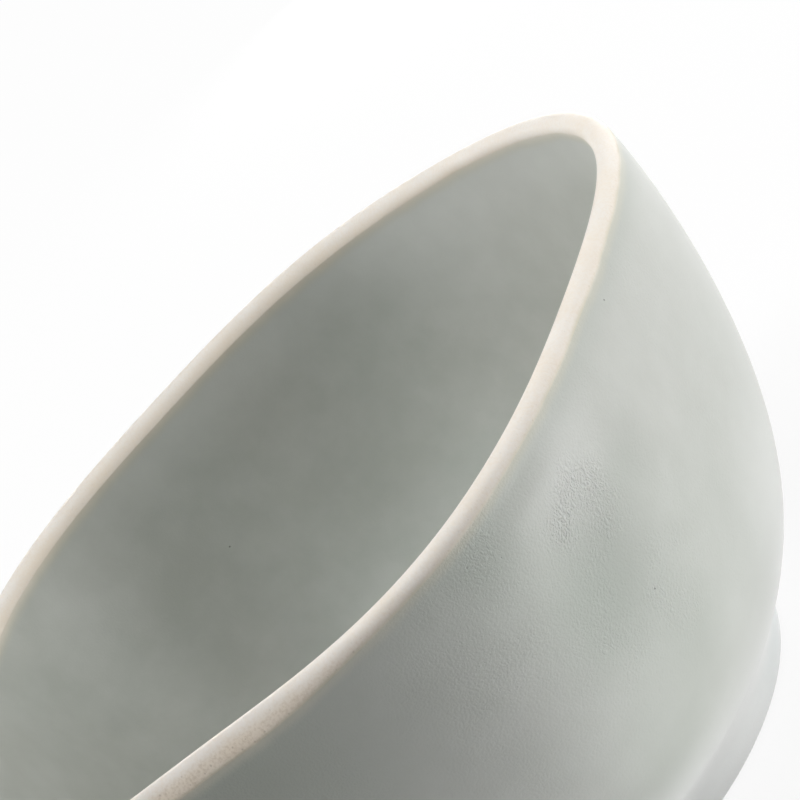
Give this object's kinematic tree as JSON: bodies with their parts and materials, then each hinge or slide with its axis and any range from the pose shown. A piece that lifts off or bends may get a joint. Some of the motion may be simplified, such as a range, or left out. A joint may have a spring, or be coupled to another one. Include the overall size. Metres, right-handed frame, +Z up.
{
  "type": "latte bowl",
  "caption": "Hand-shaped stoneware latte bowl with a softly waved bare lip, a satin grey-green glaze inside and outside, and a turned foot ring.",
  "frame": {"origin": "middle of the foot ring's standing face", "axes": "+Z up through the mouth of the bowl, +X towards the rim's pulled-out corner, -Y towards the viewer"},
  "size_m": [0.1467, 0.137, 0.0745],
  "materials": {
    "bare_clay": "matte cream stoneware",
    "inside_glaze": "satin grey-green glaze",
    "outside_glaze": "satin grey-green glaze"
  },
  "bodies": {
    "root": {"bowl_body": "bare_clay", "foot_ring": "bare_clay", "inside_glaze": "inside_glaze", "outside_glaze": "outside_glaze", "foot_glaze": "outside_glaze"}
  },
  "joints": []
}
